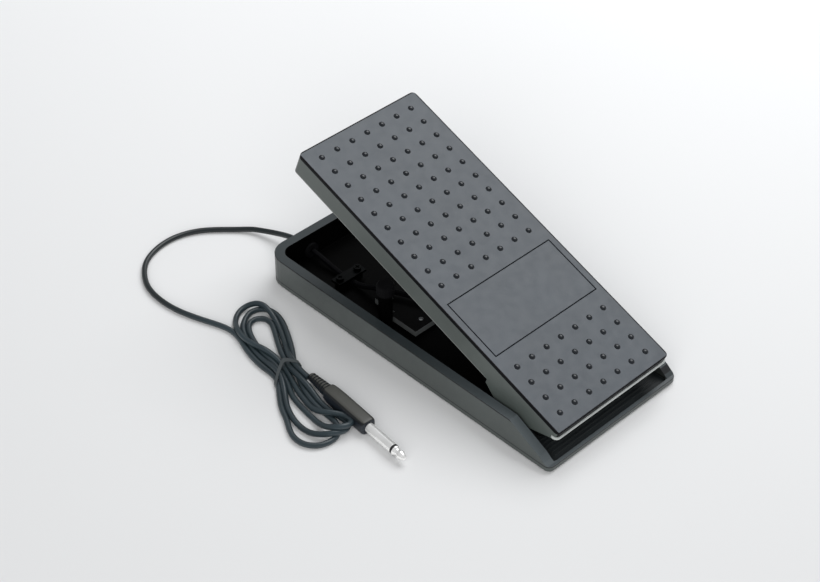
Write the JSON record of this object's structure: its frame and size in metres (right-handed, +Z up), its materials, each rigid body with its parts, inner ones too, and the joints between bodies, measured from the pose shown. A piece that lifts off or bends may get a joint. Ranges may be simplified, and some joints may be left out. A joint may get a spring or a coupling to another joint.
{
  "type": "rocker foot pedal",
  "caption": "Rocker foot pedal: a grip-studded tread plate tilts on a low tray base, turning a sensor inside; fixed cord tied in a hank, ending in a straight phone plug",
  "frame": {"origin": "on the floor, under the middle of the tray, without the free cord", "axes": "+Y from heel to toe, +X to the player's right, +Z up; the plate is at rest in its toe-up position"},
  "size_m": [0.2017, 0.32, 0.1081],
  "materials": {
    "tray_plastic": "fine moulded grain, dark grey",
    "plate_plastic": "fine moulded grain, blue-grey",
    "rubber": "plain black rubber",
    "zinc_steel": "zinc plated",
    "blackened_steel": "blackened",
    "nylon": "natural nylon",
    "acetal": "moulded",
    "brass": "plain",
    "phenolic": "laminate",
    "cord_jacket": "semi-matt cord jacket",
    "plug_plastic": "moulded",
    "nickel": "bright nickel",
    "band_plastic": "black insulating ring",
    "tie_plastic": "thin film over wire"
  },
  "bodies": {
    "base": {"base_tray": "tray_plastic", "bracket_screw_heel": "zinc_steel", "bracket_screw_toe": "zinc_steel", "cap_screw_left_heel": "zinc_steel", "cap_screw_left_toe": "zinc_steel", "cap_screw_right_heel": "zinc_steel", "cap_screw_right_toe": "zinc_steel", "clamp_screw_left": "blackened_steel", "clamp_screw_right": "blackened_steel", "cord_clamp": "blackened_steel", "cord_grommet": "rubber", "cord_hank": "cord_jacket", "cord_inner": "cord_jacket", "cord_lead": "cord_jacket", "cord_tie": "tie_plastic", "friction_washer_left": "nylon", "friction_washer_right": "nylon", "heel_stop_left": "rubber", "heel_stop_right": "rubber", "hinge_rod": "zinc_steel", "mounting_plate": "blackened_steel", "plate_screw_1": "zinc_steel", "plate_screw_2": "zinc_steel", "plate_screw_3": "zinc_steel", "plate_screw_4": "zinc_steel", "plug_band": "band_plastic", "plug_handle": "plug_plastic", "plug_relief": "plug_plastic", "plug_sleeve": "nickel", "plug_tip": "nickel", "pot_body": "blackened_steel", "pot_bracket": "zinc_steel", "pot_nut": "brass", "pot_terminals": "phenolic", "pot_washer": "zinc_steel", "rubber_foot_heel_left": "rubber", "rubber_foot_heel_right": "rubber", "rubber_foot_toe_left": "rubber", "rubber_foot_toe_right": "rubber", "saddle_cap_left": "tray_plastic", "saddle_cap_right": "tray_plastic", "toe_stop_left": "rubber", "toe_stop_right": "rubber"},
    "treadle": {"foot_plate": "plate_plastic", "hinge_bush_left": "nylon", "hinge_bush_right": "nylon", "gear_sector": "acetal", "sector_screw_left": "zinc_steel", "sector_screw_right": "zinc_steel"},
    "pot_rotor": {"pot_shaft": "zinc_steel", "pinion": "acetal"}
  },
  "joints": [
    {"name": "treadle_hinge", "type": "hinge", "parent": "base", "child": "treadle", "pos_m": [0, -0.08, 0.013], "axis": [-1, 0, 0], "range_deg": [0, 20]},
    {"name": "pot_turn", "type": "hinge", "parent": "base", "child": "pot_rotor", "pos_m": [0, -0.03892, 0.02173], "axis": [-1, 0, 0], "range_deg": [-120, 0]}
  ],
  "couplings": [
    {"joint": "pot_turn", "follows": "treadle_hinge", "ratio": -6}
  ]
}
